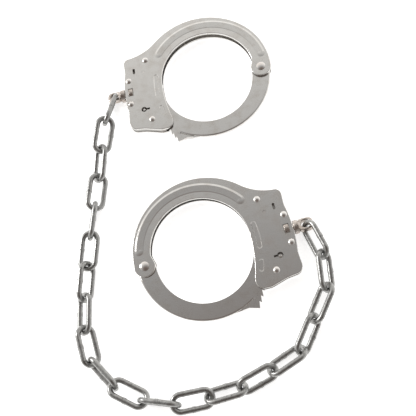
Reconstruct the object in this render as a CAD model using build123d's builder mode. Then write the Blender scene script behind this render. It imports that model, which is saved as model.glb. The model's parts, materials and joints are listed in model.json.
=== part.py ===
from build123d import *
import math
import os

# Two leg-size double-lock cuffs joined by a long welded chain, lying on a flat surface.
# Every cuff is drawn once in its own frame and placed twice. Cuff frame, in millimetres:
# origin on the swivel axis at the centre of the swivel's disc head, +X towards the bow's
# pivot, +Y towards the double arm, z = 0 on the mid-plane between the two cheek plates.

# Thicknesses of the stack
CHEEK_T = 2.0
CHEEK_GAP = 4.0
BOW_T = 3.6
STRIP_T = 2.4
HEAD_H = 1.2
CHEEK_IN_Z = CHEEK_GAP / 2
CHEEK_OUT_Z = CHEEK_IN_Z + CHEEK_T
MID_HEIGHT = CHEEK_OUT_Z + HEAD_H

# Cheek plate: lock case on the left, arm over the top, round end at the pivot
PIVOT = (109.7, 0.0)
ARM_OUTER = (62.7, 2.5)
ARM_OUTER_R = 55.2
ARM_INNER = (65.5, 3.2)
ARM_INNER_R = 38.4
PIVOT_END_R = ARM_OUTER_R - math.dist(ARM_OUTER, PIVOT)
SHOULDER_ANGLE = 133.0
CASE_TOP = (2.0, 32.2)
CASE_TOP_CORNER = (-3.9, 31.7)
CASE_BOTTOM_CORNER = (-3.9, -33.7)
CASE_SIDE = (-3.3, 18.5)
CASE_BULGE_X = -5.0
CASE_LIP = (31.9, -30.0)
CASE_LIP_CORNER = (32.7, -38.6)
EDGE_R = 0.5

# Stamped bead on the arm, and stamped guides (start and size in degrees) over the strip's path
BEAD_R = 47.0
BEAD_HALF_W = 3.5
BEAD_CREST = (1.9, 0.38)
BEAD_INNER_BEND = (-2.8, 0.12)
BEAD_END_H = 0.3
BEAD_ROOT = 0.45
BEAD_START = 11.0
BEAD_END = 144.0
GUIDE_DEPTH = 0.45
GUIDE_R = 87.6
GUIDE_WALL = 45.0
PAD_H = 0.6
PAD_R = 88.2
PAD_W = 1.9
STRIP_GUIDES = [(173.4, 11.6), (192.6, 3.6)]

# Bow (single strand)
BOW_INNER = (64.3, -1.3)
BOW_INNER_R = 37.5
BOW_OUTER = (64.0, 0.8)
BOW_OUTER_R = 52.4
BOW_END_R = 7.6
BOW_EDGE_R = 1.3
BOW_ROUND_START = 238.0
BOW_ROUND_END = 355.0
BOW_HEEL = [(52.0, -50.2), (41.5, -49.1)]
STRIP_TIP = [(20.6, 13.0), (22.6, 13.0), (27.2, 2.6)]
STRIP_STEP_R = 86.7
TOOTH_TIP_R = 91.3
TOOTH_ROOT_R = 89.4
TOOTH_PITCH = 2.7
TOOTH_UNDERCUT = 0.28
TOOTH_FLAT = 0.2
HEEL_ANGLE = 214.0
TOOTH_COUNT = 16

# Rivets, posts and holes
CASE_RIVETS = [(15.3, 27.7), (-0.8, 10.8), (-0.8, -10.8), (15.3, -28.0)]
RIVET_R = 1.6
RIVET_HEAD_R = 2.5
PIVOT_SHANK_R = 2.5
PIVOT_HEAD_R = 3.6
HOLE_CLEARANCE = 0.05
KEY_POST = (9.7, -18.0)
KEY_POST_R = 1.0
KEY_COLLAR_R = 1.5
KEY_COLLAR_T = 1.0
KEYHOLE_R = 2.25
KEYHOLE_SLOT_W = 1.6
KEYHOLE_REACH = 4.8
POST_END_Z = 3.8
LOCK_SLOT = (4.6, 19.0)
LOCK_SLOT_SIZE = (2.0, 5.3)

# Lock frame
CHANNEL_R = 93.0
FRAME_INSET = 0.3
FRAME_AREA = [(-20, -60), (30, -60), (30, 31), (20, 42), (-20, 42)]
CAVITY_LEFT = 2.4
CAVITY_TOP = 24.5
CAVITY_BOTTOM = -23.5
CAVITY_W = 30.0
CAVITY_CORNER_R = 2.0
SPRING_NOTCH = (8.2, 25.5)
SPRING_NOTCH_SIZE = (0.7, 4.0)
BOLT_SPRING_BAY = (2.0, 18.5)
BOLT_SPRING_BAY_SIZE = (2.0, 10.4)
WEB_W = 7.4
WEB_SHIFT = 1.4
WEB_END_R = 2.3

# Pawl, drawn engaged and stored turned back by RELEASE_ANGLE
PAWL_PIN = (12.6, 16.6)
PAWL_PIN_R = 1.25
PAWL_BOSS_R = 3.0
PAWL_T = 3.7
RELEASE_ANGLE = 7.5
PAWL_TOOTH_GAP = 0.3
PAWL_TOOTH_SHIFT = 0.12
PAWL_FIRST_TOOTH = 10
PAWL_BACK = [(15.2, 14.4), (15.2, 6.0)]
PAWL_TAIL = [(12.9, -12.9), (12.8, -15.45), (11.4, -15.45), (11.4, -8.0), (10.4, 14.4)]
PAWL_NOTCH = (12.0, -10.2)
PAWL_NOTCH_SIZE = (7.2, 5.2, 1.6)

# Double-lock bolt and springs
BOLT_X = (3.3, 6.1)
BOLT_TOP = 23.2
BOLT_FOOT = -9.6
BOLT_T = 3.7
BOLT_ARM_T = 1.0
BOLT_ARM_W = 1.2
BOLT_NOSE_X = (9.8, 10.95)
BOLT_NOSE_L = 2.8
BOLT_POCKET_SIZE = (4.0, 1.6)
BOLT_POCKET_DEPTH = 1.3
BOLT_TRAVEL = 2.2
SPRING_T = 0.4
SPRING_W = 3.2
PAWL_SPRING = [(8.2, 26.4), (8.0, 20.0), (6.9, 12.0), (8.9, 3.4)]
BOLT_SPRING = [(1.5, 14.0), (2.9, 18.5), (1.5, 23.0)]

# Swivel
DISC_R = 5.1
DISC_T = 3.6
WINDOW_R = 5.35
WINDOW_T = 4.2
NECK_R = 1.8
COLLAR_R = 5.2
COLLAR_X = (-9.0, -5.45)
DISC_EDGE = 0.5
EYE_X = (-20.3, -8.4)
EYE_W = 10.6
EYE_T = 3.8
EYE_HOLE_X = -14.8
EYE_HOLE_R = 3.6
EYE_HOLE_EDGE = 1.0
EYE_EDGE = 0.6
EYE_CORNER_R = 3.8
LEFT_WIRE = (-14.23, 0.56, 0.61)
RIGHT_WIRE = (-15.15, 0.32, -1.19)

# Chain link
WIRE_R = 2.0
LINK_L = 32.4
LINK_W = 16.0
LINK_SLACK = 0.4
WELD_R = 2.25
WELD_L = 2.6
BEND_R = LINK_W / 2 - WIRE_R
BAR_L = LINK_L - LINK_W
LINK_PITCH = LINK_L - 4 * WIRE_R - LINK_SLACK
LINK_REACH = WIRE_R + LINK_SLACK / 2

# Layout on the surface, in the object's frame
LEFT_BOSS = (-59.46, 92.50)
LEFT_HEADING = 8.15
RIGHT_HEADING = 193.5
LEFT_SWIVEL_TURN = -22.2
RIGHT_SWIVEL_TURN = 23.7

# One row per link: heading, roll about its own length, height of its far junction and
# the side that carries the weld (1 is the left side seen along the heading)
LINKS = [
    (-100.5, 64.0, 12.76, 1),
    (-98.2, -28.4, 10.06, 1),
    (-94.8, 39.4, 6.64, 1),
    (-93.6, -32.4, 7.46, -1),
    (-94.2, 66.3, 7.85, 1),
    (-92.8, 3.0, 7.36, -1),
    (-91.0, -62.7, 7.54, -1),
    (-86.7, 37.0, 7.60, -1),
    (-72.4, -44.0, 7.19, -1),
    (-42.9, 62.2, 8.63, -1),
    (-24.4, -25.7, 7.64, -1),
    (-4.9, 82.5, 10.79, 1),
    (11.5, 14.1, 6.85, -1),
    (15.7, -50.1, 6.94, 1),
    (28.7, 42.0, 6.86, -1),
    (32.8, -50.0, 6.98, 1),
    (64.9, 51.2, 7.19, -1),
    (64.8, -49.4, 8.02, 1),
    (94.0, 49.9, 8.96, -1),
    (114.2, -54.9, 6.62, -1),
]


def around(centre, radius, degrees):
    """Point at an angle on a circle."""
    angle = math.radians(degrees)
    return (centre[0] + radius * math.cos(angle), centre[1] + radius * math.sin(angle))


def bearing(centre, point):
    """Angle in degrees from a centre to a point."""
    return math.degrees(math.atan2(point[1] - centre[1], point[0] - centre[0]))


def tooth_line(first, last, lift, shift):
    """Sawtooth edge about the pivot, from tooth `first` to `last`, lifted off by `lift`.

    The steep faces look towards the heel and lean back over it, so that a pull on the bow
    draws the pawl along its own length.
    """
    points = []
    for number in range(first, last + 1):
        angle = HEEL_ANGLE - number * TOOTH_PITCH + shift
        points.append(around(PIVOT, TOOTH_ROOT_R + lift, angle - TOOTH_UNDERCUT))
        points.append(around(PIVOT, TOOTH_TIP_R + lift, angle))
        points.append(around(PIVOT, TOOTH_TIP_R + lift, angle - TOOTH_FLAT))
    return points


# ---------------------------------------------------------------- cheek plates and frame


def case_outline():
    """Flat outline of a cheek plate."""
    shoulder = around(ARM_OUTER, ARM_OUTER_R, SHOULDER_ANGLE)
    meet = around(ARM_OUTER, ARM_OUTER_R, bearing(ARM_OUTER, PIVOT))
    heel = (CASE_SIDE[0], -CASE_SIDE[1])
    slant = math.radians(SHOULDER_ANGLE)
    inner_left = (ARM_INNER[0] - ARM_INNER_R, ARM_INNER[1])
    inner_right = around(ARM_INNER, ARM_INNER_R, 6.0)
    end_left = around(PIVOT, PIVOT_END_R, 170.0)
    with BuildSketch() as sketch:
        with BuildLine():
            TangentArc([shoulder, CASE_TOP], tangent=(-math.sin(slant), math.cos(slant)))
            Polyline([CASE_TOP, CASE_TOP_CORNER, CASE_SIDE])
            ThreePointArc(CASE_SIDE, (CASE_BULGE_X, 0), heel)
            Polyline([heel, CASE_BOTTOM_CORNER, (9.0, -35.2), (21.5, -38.9), CASE_LIP_CORNER, CASE_LIP])
            TangentArc([inner_left, CASE_LIP], tangent=(0, -1))
            ThreePointArc(inner_left, around(ARM_INNER, ARM_INNER_R, 93.0), inner_right)
            Line(inner_right, end_left)
            ThreePointArc(end_left, around(PIVOT, PIVOT_END_R, 260.0), meet)
            ThreePointArc(meet, around(ARM_OUTER, ARM_OUTER_R, 65.0), shoulder)
        make_face()
        corners = sketch.vertices()
        for point, radius in (
            (CASE_TOP_CORNER, 5.0),
            (CASE_BOTTOM_CORNER, 6.0),
            ((9.0, -35.2), 25.0),
            ((21.5, -38.9), 12.0),
            (CASE_LIP_CORNER, 6.0),
            (inner_right, 6.0),
            (end_left, 6.0),
        ):
            fillet(corners.sort_by_distance((point[0], point[1], 0))[0], radius=radius)
            corners = sketch.vertices()
    return sketch.sketch


def arc_slot(radius, start, size, width):
    """Rounded slot that follows an arc about the pivot."""
    SlotArc(arc=CenterArc(PIVOT, radius, start, size), height=width)


def bead_profile(plane, middle):
    """Cross-section of the raised bead, standing on the cheek's outer face."""
    with BuildSketch(plane) as profile:
        with BuildLine():
            left = (middle - BEAD_HALF_W, 0)
            right = (middle + BEAD_HALF_W, 0)
            bends = [(middle + x, y) for x, y in (BEAD_INNER_BEND, BEAD_CREST)]
            Polyline([left, *bends, right, (right[0], -BEAD_ROOT), (left[0], -BEAD_ROOT), left])
        make_face()
    return profile.sketch


def bead_end_profile(plane):
    """Half cross-section of the low dome that ends the bead."""
    with BuildSketch(plane) as profile:
        with BuildLine():
            left = (-BEAD_HALF_W, 0)
            right = (BEAD_HALF_W, 0)
            ThreePointArc(left, (0, BEAD_END_H), right)
            Polyline([right, (right[0], -BEAD_ROOT), (left[0], -BEAD_ROOT), left])
        make_face()
        with Locations((-BEAD_HALF_W, 0)):
            Rectangle(2 * BEAD_HALF_W, 4 * BEAD_ROOT, mode=Mode.SUBTRACT)
    return profile.sketch


def upright_plane(centre, degrees, height):
    """Upright plane through a centre, its x axis at an angle in plan, its y axis up."""
    angle = math.radians(degrees)
    return Plane(
        origin=(*centre, height),
        x_dir=(math.cos(angle), math.sin(angle), 0),
        z_dir=(math.sin(angle), -math.cos(angle), 0),
    )


def cheek_plate():
    """Outer cheek plate with its holes, swivel window, bead and stamped guides."""
    with BuildPart() as plate:
        with BuildSketch(Plane.XY.offset(CHEEK_IN_Z)):
            add(case_outline())
        extrude(amount=CHEEK_T)
        fillet(plate.faces().sort_by(Axis.Z)[-1].outer_wire().edges(), radius=EDGE_R)

        # Raised bead along the arm, domed at both ends
        section = bead_profile(upright_plane(ARM_INNER, BEAD_START, CHEEK_OUT_Z), BEAD_R)
        centre_line = Axis((*ARM_INNER, 0), (0, 0, 1))
        revolve(section, axis=centre_line, revolution_arc=BEAD_END - BEAD_START)
        for end_angle in (BEAD_START, BEAD_END):
            middle = around(ARM_INNER, BEAD_R, end_angle)
            half = bead_end_profile(upright_plane(middle, end_angle, CHEEK_OUT_Z))
            revolve(half, axis=Axis((*middle, 0), (0, 0, 1)))

        # Guides for the toothed strip: pressed in outside, pads standing out inside
        with BuildSketch(Plane.XY.offset(CHEEK_OUT_Z)):
            for start, size in STRIP_GUIDES:
                arc_slot(GUIDE_R, start, size, 2 * PAD_W)
        extrude(amount=-GUIDE_DEPTH, taper=GUIDE_WALL, mode=Mode.SUBTRACT)
        with BuildSketch(Plane.XY.offset(CHEEK_IN_Z)):
            for start, size in STRIP_GUIDES:
                arc_slot(PAD_R, start, size, PAD_W)
        extrude(amount=-PAD_H)

        # Rivet, pivot and pawl-pin holes, keyhole and double-lock slot
        with BuildSketch(Plane.XY.offset(CHEEK_IN_Z)):
            with Locations(CASE_RIVETS):
                Circle(RIVET_R + HOLE_CLEARANCE)
            with Locations(PIVOT):
                Circle(PIVOT_SHANK_R + HOLE_CLEARANCE)
            with Locations(PAWL_PIN):
                Circle(PAWL_PIN_R + HOLE_CLEARANCE)
            with Locations(KEY_POST):
                Circle(KEYHOLE_R)
            with Locations((KEY_POST[0] + KEYHOLE_REACH / 2, KEY_POST[1])):
                Rectangle(KEYHOLE_REACH, KEYHOLE_SLOT_W)
            with Locations(LOCK_SLOT):
                SlotOverall(LOCK_SLOT_SIZE[1], LOCK_SLOT_SIZE[0], rotation=90)
        extrude(amount=CHEEK_T, mode=Mode.SUBTRACT)

        # Window that the swivel's disc head shows through
        with BuildSketch(Plane.YZ.offset(-WINDOW_T / 2)):
            Circle(WINDOW_R)
        extrude(amount=WINDOW_T, mode=Mode.SUBTRACT)
    return plate.part


def lock_frame():
    """Spacer between the cheeks: lock case walls, bow channel and the key post's web."""
    with BuildPart() as frame:
        with BuildSketch(Plane.XY.offset(-CHEEK_IN_Z)) as walls:
            with BuildLine():
                Polyline(FRAME_AREA, close=True)
            make_face()
            offset(case_outline(), amount=-FRAME_INSET, mode=Mode.INTERSECT)
            with Locations(PIVOT):
                Circle(CHANNEL_R, mode=Mode.SUBTRACT)
            cavity_h = CAVITY_TOP - CAVITY_BOTTOM
            with Locations((CAVITY_LEFT + CAVITY_W / 2, (CAVITY_TOP + CAVITY_BOTTOM) / 2)):
                RectangleRounded(CAVITY_W, cavity_h, CAVITY_CORNER_R, mode=Mode.SUBTRACT)
            with Locations((0, 0)):
                Rectangle(WINDOW_T + 0.2, 2 * WINDOW_R + 0.4, mode=Mode.SUBTRACT)
            with Locations((-4, 0)):
                Rectangle(8, 2 * NECK_R + 0.6, mode=Mode.SUBTRACT)
            with Locations(SPRING_NOTCH):
                Rectangle(*SPRING_NOTCH_SIZE, mode=Mode.SUBTRACT)
            with Locations(BOLT_SPRING_BAY):
                Rectangle(*BOLT_SPRING_BAY_SIZE, mode=Mode.SUBTRACT)
            with Locations(CASE_RIVETS):
                Circle(RIVET_R + HOLE_CLEARANCE, mode=Mode.SUBTRACT)
        extrude(amount=CHEEK_GAP)
        # Web that holds the key post and closes the keyhole off from the other side
        with BuildSketch(Plane.XY.offset(-KEY_COLLAR_T / 2)):
            web_foot = CAVITY_BOTTOM - 1.0
            web_top = KEY_POST[1] + 1.0
            with Locations((KEY_POST[0] + WEB_SHIFT, (web_foot + web_top) / 2)):
                Rectangle(WEB_W, web_top - web_foot)
            with Locations(KEY_POST):
                Circle(WEB_END_R)
                Circle(KEY_COLLAR_R, mode=Mode.SUBTRACT)
        extrude(amount=KEY_COLLAR_T)
    return frame.part


def rivet(points, shank_r, head_r, rim):
    """Rivets with a domed head on both cheeks, one solid at each point."""
    with BuildPart() as rivets:
        with BuildSketch(Plane.XZ):
            with BuildLine():
                top = CHEEK_OUT_Z + HEAD_H
                Polyline([(0, top), (0, 0), (shank_r, 0), (shank_r, CHEEK_OUT_Z), (head_r, CHEEK_OUT_Z)])
                Line((head_r, CHEEK_OUT_Z), (head_r, CHEEK_OUT_Z + rim))
                TangentArc([(0, top), (head_r, CHEEK_OUT_Z + rim)], tangent=(1, 0))
            make_face()
        revolve(axis=Axis.Z)
        mirror(about=Plane.XY)
    one = rivets.part
    return Compound(children=[Pos(x, y) * one.solid() for x, y in points])


def key_post():
    """Post that centres the barrel of the key, held by its collar in the frame's web."""
    with BuildPart() as post:
        Cylinder(KEY_POST_R, 2 * POST_END_Z)
        chamfer(post.edges().filter_by(GeomType.CIRCLE), length=0.25)
        Cylinder(KEY_COLLAR_R, KEY_COLLAR_T)
    return Pos(*KEY_POST) * post.part


def pawl_pin():
    """Pin that the pawl turns on, flush with both cheeks."""
    with BuildPart() as pin:
        Cylinder(PAWL_PIN_R, 2 * CHEEK_OUT_Z)
        chamfer(pin.edges().filter_by(GeomType.CIRCLE), length=0.15)
    return Pos(*PAWL_PIN) * pin.part


# ---------------------------------------------------------------- bow, pawl, bolt, springs


def bow():
    """Single strand: round end on the pivot, curved arm, stepped strip with teeth."""
    teeth = tooth_line(0, TOOTH_COUNT - 1, 0, 0)
    heel = teeth[1]
    with BuildSketch() as outline:
        with Locations(BOW_OUTER):
            Circle(BOW_OUTER_R)
        with Locations((45, 60)):
            Rectangle(200, 120, mode=Mode.SUBTRACT)
        with Locations((20, -30)):
            Rectangle(60, 120, mode=Mode.SUBTRACT)
        with Locations(PIVOT):
            Circle(BOW_END_R)
        with BuildLine():
            Polyline([*teeth[1:], *STRIP_TIP, (60, -30), *BOW_HEEL, heel])
        make_face()
        with Locations(BOW_INNER):
            Circle(BOW_INNER_R, mode=Mode.SUBTRACT)
        with Locations(PIVOT):
            Circle(BOW_END_R - 0.05)
            Circle(PIVOT_SHANK_R + HOLE_CLEARANCE, mode=Mode.SUBTRACT)
    with BuildSketch() as thick:
        with Locations(PIVOT):
            Circle(STRIP_STEP_R)
    with BuildPart() as strand:
        with BuildSketch(Plane.XY.offset(-BOW_T / 2)):
            add(outline.sketch)
            add(thick.sketch, mode=Mode.INTERSECT)
        extrude(amount=BOW_T)
        with BuildSketch(Plane.XY.offset(-STRIP_T / 2)):
            add(outline.sketch)
        extrude(amount=STRIP_T)
        # Rounded outer edge, from the heel to just under the cheeks at the pivot
        with BuildSketch(upright_plane(BOW_OUTER, BOW_ROUND_START, 0)):
            with BuildLine():
                inner_r = BOW_OUTER_R - BOW_EDGE_R
                top = BOW_T / 2
                RadiusArc((inner_r, top), (BOW_OUTER_R, top - BOW_EDGE_R), BOW_EDGE_R)
                Polyline([(BOW_OUTER_R, top - BOW_EDGE_R), (BOW_OUTER_R + 1, top - BOW_EDGE_R)])
                Polyline([(BOW_OUTER_R + 1, top - BOW_EDGE_R), (BOW_OUTER_R + 1, top + 1)])
                Polyline([(BOW_OUTER_R + 1, top + 1), (inner_r, top + 1), (inner_r, top)])
            make_face()
            mirror(about=Plane.XZ)
        revolve(
            axis=Axis((*BOW_OUTER, 0), (0, 0, 1)),
            revolution_arc=BOW_ROUND_END - BOW_ROUND_START,
            mode=Mode.SUBTRACT,
        )
    return strand.part


def pawl():
    """Toothed pawl, turned back clear of the bow as a key holds it."""
    last = PAWL_FIRST_TOOTH + 3
    teeth = tooth_line(PAWL_FIRST_TOOTH, last, PAWL_TOOTH_GAP, PAWL_TOOTH_SHIFT)[1:-1]
    with BuildPart() as lever:
        with BuildSketch(Plane.XY.offset(-PAWL_T / 2)):
            with BuildLine():
                Polyline([*PAWL_BACK, *reversed(teeth), *PAWL_TAIL], close=True)
            make_face()
            with Locations(PAWL_PIN):
                Circle(PAWL_BOSS_R)
                Circle(PAWL_PIN_R + HOLE_CLEARANCE, mode=Mode.SUBTRACT)
        extrude(amount=PAWL_T)
        # Notch that the bolt's nose waits in
        with BuildSketch(Plane.XY.offset(-PAWL_NOTCH_SIZE[2] / 2)):
            with Locations(PAWL_NOTCH):
                Rectangle(PAWL_NOTCH_SIZE[0], PAWL_NOTCH_SIZE[1])
        extrude(amount=PAWL_NOTCH_SIZE[2], mode=Mode.SUBTRACT)
    return lever.part.rotate(Axis((*PAWL_PIN, 0), (0, 0, 1)), -RELEASE_ANGLE)


def double_lock_bolt():
    """Sliding bolt whose nose blocks the pawl's lug once it is pushed down."""
    with BuildPart() as bolt:
        with BuildSketch(Plane.XY.offset(-BOLT_T / 2)):
            with Locations(((BOLT_X[0] + BOLT_X[1]) / 2, (BOLT_TOP + BOLT_FOOT) / 2)):
                RectangleRounded(BOLT_X[1] - BOLT_X[0], BOLT_TOP - BOLT_FOOT, EDGE_R)
        extrude(amount=BOLT_T)
        # Blind pocket on each face for the tip that pushes the bolt
        for face in (1, -1):
            with BuildSketch(Plane.XY.offset(face * BOLT_T / 2)):
                with Locations((LOCK_SLOT[0], LOCK_SLOT[1] + 0.6)):
                    SlotOverall(*BOLT_POCKET_SIZE, rotation=90)
            extrude(amount=-face * BOLT_POCKET_DEPTH, mode=Mode.SUBTRACT)
        with BuildSketch(Plane.XY.offset(-BOLT_ARM_T / 2)):
            with BuildLine():
                root = (BOLT_X[0] + BOLT_X[1]) / 2
                near, far = BOLT_NOSE_X
                low = BOLT_FOOT + EDGE_R
                high = low + BOLT_ARM_W
                end = low - BOLT_NOSE_L
                Polyline([(root, high), (far, high), (far, end), (near, end), (near, low)])
                Polyline([(near, low), (root, low), (root, high)])
            make_face()
        extrude(amount=BOLT_ARM_T)
    return bolt.part


def flat_spring(points):
    """Flat spring strip that follows a smooth line in plan."""
    with BuildPart() as spring:
        with BuildSketch(Plane.XY.offset(-SPRING_W / 2)):
            with BuildLine() as path:
                Spline(points)
            trace(path.line, line_width=SPRING_T)
        extrude(amount=SPRING_W)
    return spring.part


def swivel(turn):
    """Swivel: disc head in the case windows, neck, round collar and flat eye."""
    with BuildPart() as part:
        with BuildSketch(Plane.XY):
            with BuildLine():
                left, right = COLLAR_X
                disc = DISC_T / 2
                Polyline([(disc, 0), (disc, DISC_R), (-disc, DISC_R), (-disc, NECK_R), (right, NECK_R)])
                Polyline([(right, NECK_R), (right, COLLAR_R), (left, COLLAR_R), (left, 0), (disc, 0)])
            make_face()
        revolve(axis=Axis.X)
        round_edges = part.edges().filter_by(GeomType.CIRCLE)
        fillet(round_edges.filter_by(lambda e: e.radius > COLLAR_R - 0.2), radius=DISC_EDGE)
        with BuildPart(mode=Mode.PRIVATE) as eye:
            with BuildSketch(Plane.XY.offset(-EYE_T / 2)):
                with Locations(((EYE_X[0] + EYE_X[1]) / 2, 0)):
                    RectangleRounded(EYE_X[1] - EYE_X[0], EYE_W, EYE_CORNER_R)
            extrude(amount=EYE_T)
            fillet(eye.faces().filter_by(Axis.Z).edges(), radius=EYE_EDGE)
            with Locations((EYE_HOLE_X, 0)):
                Hole(EYE_HOLE_R)
            rims = eye.edges().filter_by(GeomType.CIRCLE)
            fillet(rims.filter_by(lambda e: abs(e.radius - EYE_HOLE_R) < 0.01), radius=EYE_HOLE_EDGE)
        add(eye.part)
    return part.part.rotate(Axis.X, turn)


# ---------------------------------------------------------------- chain


def link(weld_side):
    """Long welded link lying flat about its own centre, its length along +X."""
    with BuildPart() as ring:
        for side in (1, -1):
            with BuildSketch(Plane.YZ.offset(-BAR_L / 2)):
                with Locations((side * BEND_R, 0)):
                    Circle(WIRE_R)
            extrude(amount=BAR_L)
        for end in (1, -1):
            with BuildSketch(Plane.YZ.offset(end * BAR_L / 2)):
                with Locations((BEND_R, 0)):
                    Circle(WIRE_R)
            revolve(axis=Axis((end * BAR_L / 2, 0, 0), (0, 0, -end)), revolution_arc=180)
        with BuildSketch(Plane.YZ.offset(-WELD_L / 2)):
            with Locations((weld_side * BEND_R, 0)):
                Circle(WELD_R)
        extrude(amount=WELD_L)
    return ring.part


def direction(heading, climb):
    """Unit vector from a heading in plan and a climb angle."""
    flat = math.cos(climb)
    turn = math.radians(heading)
    return Vector(flat * math.cos(turn), flat * math.sin(turn), math.sin(climb))


def chain_layout(start_wire):
    """Plane of every link, the hinge point at every junction and the last wire centre."""
    heading, _, far_height, _ = LINKS[0]
    climb = math.asin((far_height - start_wire.Z) / (LINK_PITCH + LINK_REACH))
    junction = start_wire + direction(heading, climb) * LINK_REACH
    planes = []
    junctions = [junction]
    for heading, roll, far_height, _ in LINKS:
        climb = math.asin((far_height - junction.Z) / LINK_PITCH)
        along = direction(heading, climb)
        centre = junction + along * (LINK_PITCH / 2)
        level = direction(heading + 90, 0)
        side = level.rotate(Axis((0, 0, 0), along), roll)
        planes.append(Plane(origin=centre, x_dir=along, z_dir=along.cross(side)))
        junction = junction + along * LINK_PITCH
        junctions.append(junction)
    return planes, junctions, junction + along * LINK_REACH


def left_cuff_plane():
    """Frame of the left cuff on the surface."""
    heading = math.radians(LEFT_HEADING)
    return Plane(origin=(*LEFT_BOSS, MID_HEIGHT), x_dir=(math.cos(heading), math.sin(heading), 0))


def right_cuff_plane(last_wire):
    """Frame of the right cuff, turned over and hung on the end of the chain."""
    heading = math.radians(RIGHT_HEADING)
    x_dir = Vector(math.cos(heading), math.sin(heading), 0)
    z_dir = Vector(0, 0, -1)
    boss = last_wire - x_dir * RIGHT_WIRE[0] - z_dir.cross(x_dir) * RIGHT_WIRE[1]
    return Plane(origin=(boss.X, boss.Y, MID_HEIGHT), x_dir=x_dir, z_dir=z_dir)


def cuff_parts(turn):
    """Every piece of one cuff in the cuff's own frame."""
    front = cheek_plate()
    return {
        "front_cheek": front,
        "back_cheek": front.mirror(Plane.XY),
        "lock_frame": lock_frame(),
        "bow": bow(),
        "pivot_rivet": rivet([PIVOT], PIVOT_SHANK_R, PIVOT_HEAD_R, 0.35),
        "case_rivets": rivet(CASE_RIVETS, RIVET_R, RIVET_HEAD_R, 0.2),
        "key_post": key_post(),
        "pawl": pawl(),
        "pawl_pin": pawl_pin(),
        "pawl_spring": flat_spring(PAWL_SPRING),
        "double_lock_bolt": double_lock_bolt(),
        "bolt_spring": flat_spring(BOLT_SPRING),
        "swivel": swivel(turn),
    }


def build():
    """All named pieces in place on the surface."""
    left = left_cuff_plane()
    planes, _, last_wire = chain_layout(left.from_local_coords(LEFT_WIRE))
    right = right_cuff_plane(last_wire)
    pieces = {}
    for side, plane, turn in (
        ("left", left, LEFT_SWIVEL_TURN),
        ("right", right, RIGHT_SWIVEL_TURN),
    ):
        for name, piece in cuff_parts(turn).items():
            pieces[f"{side}_cuff_{name}"] = plane.location * piece
    plain = {side: link(side) for side in (1, -1)}
    for number, (plane, row) in enumerate(zip(planes, LINKS), start=1):
        pieces[f"chain_link_{number:02d}"] = plane.location * plain[row[3]]
    return pieces


if __name__ == "__main__":
    os.makedirs("parts", exist_ok=True)
    for piece_name, piece in build().items():
        piece.label = piece_name
        export_step(piece, f"parts/{piece_name}.step")
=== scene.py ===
import json

import bpy
from mathutils import Matrix, Vector


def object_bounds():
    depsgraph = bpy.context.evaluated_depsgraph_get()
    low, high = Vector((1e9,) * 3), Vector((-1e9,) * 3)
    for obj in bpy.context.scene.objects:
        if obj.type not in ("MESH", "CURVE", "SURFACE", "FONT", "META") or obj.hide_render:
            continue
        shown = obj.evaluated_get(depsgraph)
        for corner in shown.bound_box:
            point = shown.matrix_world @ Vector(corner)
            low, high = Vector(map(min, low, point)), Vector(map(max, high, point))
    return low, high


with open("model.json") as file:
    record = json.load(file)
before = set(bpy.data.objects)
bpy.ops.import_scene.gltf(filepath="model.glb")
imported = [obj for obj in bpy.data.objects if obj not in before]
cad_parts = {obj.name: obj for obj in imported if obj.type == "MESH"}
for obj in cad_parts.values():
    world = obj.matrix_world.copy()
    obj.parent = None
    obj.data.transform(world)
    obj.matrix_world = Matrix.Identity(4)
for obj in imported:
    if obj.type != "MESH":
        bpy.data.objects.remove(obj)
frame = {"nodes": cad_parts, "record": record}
cad_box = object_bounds()
nodes = frame["nodes"]

# Camera: looks down on the flat-lying set from the near side, turned a little to the left
CAMERA_AT = (0.0620, -0.1289, 0.3992)
CAMERA_RIGHT = Vector((0.9897, 0.0, -0.1430))
CAMERA_UP = Vector((0.0410, 0.9580, 0.2840))
LENS_MM = 46.7
SENSOR_MM = 36.0
CLIP_NEAR = 0.01
CLIP_FAR = 50.0

# Surroundings: a dark side above the camera, brighter towards the far horizon
DARK_SIDE = Vector((0.10, -0.45, 0.89))
FLOOR_SIZE = 30.0
FLOOR_WHITE = (0.93, 0.93, 0.93, 1.0)
FLOOR_ROUGHNESS = 0.9
FLOOR_GLOW = 0.66
KEY_AT = Vector((-1.25, 0.25, 0.70))
KEY_SIZE = 0.5
KEY_POWER = 9.0

# Feature sizes of the noises, as features per metre
WAVES = 45.0
CLOUDS = 140.0
GRAIN = 2600.0
SPECKS = 420.0

# Depths of the bumps, in metres
WAVE_DEPTH = 0.0006
PIT_DEPTH = 0.00012
SCRATCH_DEPTH = 0.00006
GRAIN_DEPTH = 0.00003

# How far a scratch is drawn out along each axis
SCRATCH_STRETCH = (1.0, 14.0, 3.0)

# Stretches of a noise that turn into stains on the plating and dark marks on the chain
STAIN_RANGE = (0.45, 0.75)
MARK_RANGE = (0.66, 0.72)
MARK_COVER = 0.85

# How much smoother and rougher than its mean a finish gets
PLATED_ROUGHNESS = (-0.05, 0.07)
CHAIN_ROUGHNESS = (-0.08, 0.10)

# Strengths of the fine bumps
PLATED_GRAIN = 0.10
CHAIN_GRAIN = 0.15
CHAIN_PITS = 0.35

# World colours by the cosine of the angle from the dark side
WORLD_STOPS = (
    (0.00, (1.15, 1.13, 1.10)),
    (0.30, (0.98, 0.96, 0.93)),
    (0.52, (0.70, 0.69, 0.67)),
    (0.66, (0.52, 0.51, 0.50)),
    (0.76, (0.37, 0.365, 0.36)),
    (0.90, (0.24, 0.205, 0.185)),
    (1.00, (0.17, 0.145, 0.13)),
)


def new_material(name):
    """Material with empty nodes, its Principled shader and its object coordinates."""
    material = bpy.data.materials.new(name)
    material.use_nodes = True
    tree = material.node_tree
    shader = tree.nodes["Principled BSDF"]
    coordinates = tree.nodes.new("ShaderNodeTexCoord").outputs["Object"]
    return material, tree, shader, coordinates


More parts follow.
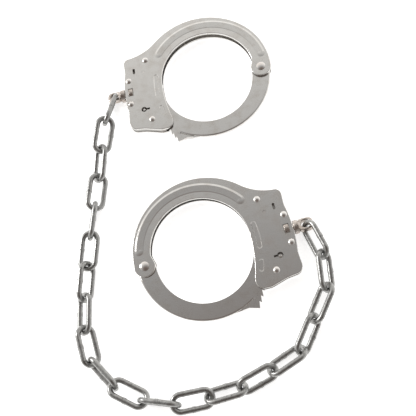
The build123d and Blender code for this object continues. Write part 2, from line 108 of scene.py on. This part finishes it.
def noise(tree, coordinates, scale, detail=3.0, stretch=None):
    """Noise value, with its coordinates stretched where a direction is given."""
    if stretch is not None:
        mapping = tree.nodes.new("ShaderNodeMapping")
        mapping.inputs["Scale"].default_value = stretch
        tree.links.new(coordinates, mapping.inputs["Vector"])
        coordinates = mapping.outputs["Vector"]
    texture = tree.nodes.new("ShaderNodeTexNoise")
    texture.inputs["Scale"].default_value = scale
    texture.inputs["Detail"].default_value = detail
    tree.links.new(coordinates, texture.inputs["Vector"])
    return texture.outputs["Fac"]


def spread(tree, value, low, high, start=0.3, end=0.7):
    """Value brought from start..end to low..high."""
    node = tree.nodes.new("ShaderNodeMapRange")
    node.inputs["From Min"].default_value = start
    node.inputs["From Max"].default_value = end
    node.inputs["To Min"].default_value = low
    node.inputs["To Max"].default_value = high
    tree.links.new(value, node.inputs["Value"])
    return node.outputs["Result"]


def blend(tree, factor, first, second):
    """Colour mixed by a factor; first and second are colours or sockets."""
    node = tree.nodes.new("ShaderNodeMix")
    node.data_type = "RGBA"
    tree.links.new(factor, node.inputs["Factor"])
    for name, value in (("A", first), ("B", second)):
        socket = next(s for s in node.inputs if s.name == name and s.type == "RGBA")
        if isinstance(value, tuple):
            socket.default_value = (*value, 1.0)
        else:
            tree.links.new(value, socket)
    return next(s for s in node.outputs if s.type == "RGBA")


def bump(tree, shader, layers):
    """Chain of bumps, one for each (height, strength, depth in metres)."""
    normal = None
    for height, strength, depth in layers:
        node = tree.nodes.new("ShaderNodeBump")
        node.inputs["Strength"].default_value = strength
        node.inputs["Distance"].default_value = depth
        tree.links.new(height, node.inputs["Height"])
        if normal is not None:
            tree.links.new(normal, node.inputs["Normal"])
        normal = node.outputs["Normal"]
    tree.links.new(normal, shader.inputs["Normal"])


def plated(name, bright, stained, rough, waviness, scratches):
    """Plated steel: cloudy tint, uneven polish, fine grain and long faint scratches."""
    material, tree, shader, at = new_material(name)
    shader.inputs["Metallic"].default_value = 1.0
    clouds = noise(tree, at, CLOUDS)
    waves = noise(tree, at, WAVES, detail=1.0)
    grain = noise(tree, at, GRAIN, detail=2.0)
    lines = noise(tree, at, CLOUDS, detail=4.0, stretch=SCRATCH_STRETCH)
    tint = blend(tree, spread(tree, clouds, 0.0, 1.0, *STAIN_RANGE), bright, stained)
    tree.links.new(tint, shader.inputs["Base Color"])
    smoothest, roughest = (rough + change for change in PLATED_ROUGHNESS)
    tree.links.new(spread(tree, clouds, smoothest, roughest), shader.inputs["Roughness"])
    bump(tree, shader, (
        (waves, waviness, WAVE_DEPTH),
        (lines, scratches, SCRATCH_DEPTH),
        (grain, PLATED_GRAIN, GRAIN_DEPTH),
    ))
    return material


def galvanised(name, bright, dull, marks, rough):
    """Dull zinc-coated wire: mottled grey, rubbed spots, small dark marks and pits."""
    material, tree, shader, at = new_material(name)
    shader.inputs["Metallic"].default_value = 1.0
    mottle = noise(tree, at, SPECKS, detail=4.0)
    clouds = noise(tree, at, CLOUDS)
    spots = noise(tree, at, 2 * SPECKS, detail=1.0)
    body = blend(tree, spread(tree, mottle, 0.0, 1.0), bright, dull)
    marked = blend(tree, spread(tree, spots, 0.0, MARK_COVER, *MARK_RANGE), body, marks)
    tree.links.new(marked, shader.inputs["Base Color"])
    smoothest, roughest = (rough + change for change in CHAIN_ROUGHNESS)
    tree.links.new(spread(tree, clouds, smoothest, roughest), shader.inputs["Roughness"])
    bump(tree, shader, (
        (mottle, CHAIN_PITS, PIT_DEPTH),
        (noise(tree, at, GRAIN, detail=2.0), CHAIN_GRAIN, GRAIN_DEPTH),
    ))
    return material


FINISHES = {
    "nickel_plate": plated(
        "nickel_plate", (0.74, 0.73, 0.712), (0.66, 0.635, 0.605), 0.20, 0.05, 0.25
    ),
    "bow_steel": plated("bow_steel", (0.73, 0.72, 0.705), (0.64, 0.615, 0.585), 0.16, 0.06, 0.20),
    "rivet_steel": plated("rivet_steel", (0.80, 0.78, 0.76), (0.66, 0.60, 0.56), 0.10, 0.04, 0.15),
    "lock_steel": plated("lock_steel", (0.42, 0.41, 0.39), (0.30, 0.28, 0.26), 0.32, 0.10, 0.40),
    "spring_steel": plated("spring_steel", (0.28, 0.29, 0.33), (0.22, 0.20, 0.20), 0.28, 0.10, 0.30),
    "swivel_steel": galvanised(
        "swivel_steel", (0.62, 0.57, 0.53), (0.42, 0.37, 0.33), (0.12, 0.09, 0.08), 0.26
    ),
    "chain_steel": galvanised(
        "chain_steel", (0.43, 0.43, 0.42), (0.29, 0.29, 0.285), (0.09, 0.08, 0.08), 0.30
    ),
}


def dress_cad_nodes():
    """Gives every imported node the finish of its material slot."""
    for part in frame["record"]["subparts"]:
        mesh = nodes[part["node"]].data
        mesh.materials.clear()
        mesh.materials.append(FINISHES[part["material_slot"]])


def add_floor():
    """Plain white floor that glows a little, as an overexposed sweep does."""
    bpy.ops.mesh.primitive_plane_add(size=FLOOR_SIZE, location=(0, 0, cad_box[0].z))
    floor = bpy.context.object
    floor.name = "floor"
    material, _, shader, _ = new_material("floor_white")
    shader.inputs["Base Color"].default_value = FLOOR_WHITE
    shader.inputs["Roughness"].default_value = FLOOR_ROUGHNESS
    shader.inputs["Emission Color"].default_value = (1.0, 1.0, 1.0, 1.0)
    shader.inputs["Emission Strength"].default_value = FLOOR_GLOW
    floor.data.materials.append(material)


def add_surroundings():
    """World lit by its angle from the dark side: brown-black there, white far from it."""
    world = bpy.data.worlds.new("studio")
    bpy.context.scene.world = world
    world.use_nodes = True
    tree = world.node_tree
    direction = tree.nodes.new("ShaderNodeTexCoord").outputs["Generated"]
    dot = tree.nodes.new("ShaderNodeVectorMath")
    dot.operation = "DOT_PRODUCT"
    tree.links.new(direction, dot.inputs[0])
    dot.inputs[1].default_value = DARK_SIDE.normalized()
    ramp = tree.nodes.new("ShaderNodeValToRGB")
    tree.links.new(dot.outputs["Value"], ramp.inputs["Fac"])
    elements = ramp.color_ramp.elements
    while len(elements) > 1:
        elements.remove(elements[-1])
    first, *others = WORLD_STOPS
    elements[0].position, elements[0].color = first[0], (*first[1], 1.0)
    for position, colour in others:
        elements.new(position).color = (*colour, 1.0)
    background = tree.nodes["Background"]
    tree.links.new(ramp.outputs["Color"], background.inputs["Color"])


def add_key_light():
    """Soft window-like light from the far left."""
    data = bpy.data.lights.new("key", "AREA")
    data.size = KEY_SIZE
    data.energy = KEY_POWER
    light = bpy.data.objects.new("key", data)
    bpy.context.scene.collection.objects.link(light)
    light.location = KEY_AT
    light.rotation_mode = "QUATERNION"
    light.rotation_quaternion = (-KEY_AT).to_track_quat("-Z", "Y")


def add_camera():
    """Camera that looks down on the set from the near side."""
    data = bpy.data.cameras.new("camera")
    data.lens = LENS_MM
    data.sensor_width = SENSOR_MM
    data.clip_start, data.clip_end = CLIP_NEAR, CLIP_FAR
    camera = bpy.data.objects.new("camera", data)
    bpy.context.scene.collection.objects.link(camera)
    right = CAMERA_RIGHT.normalized()
    back = right.cross(CAMERA_UP).normalized()
    up = back.cross(right)
    turn = Matrix((right, up, back)).transposed().to_4x4()
    camera.matrix_world = Matrix.Translation(CAMERA_AT) @ turn
    bpy.context.scene.camera = camera


dress_cad_nodes()
add_floor()
add_surroundings()
add_key_light()
add_camera()
bpy.context.scene.view_settings.view_transform = "Standard"
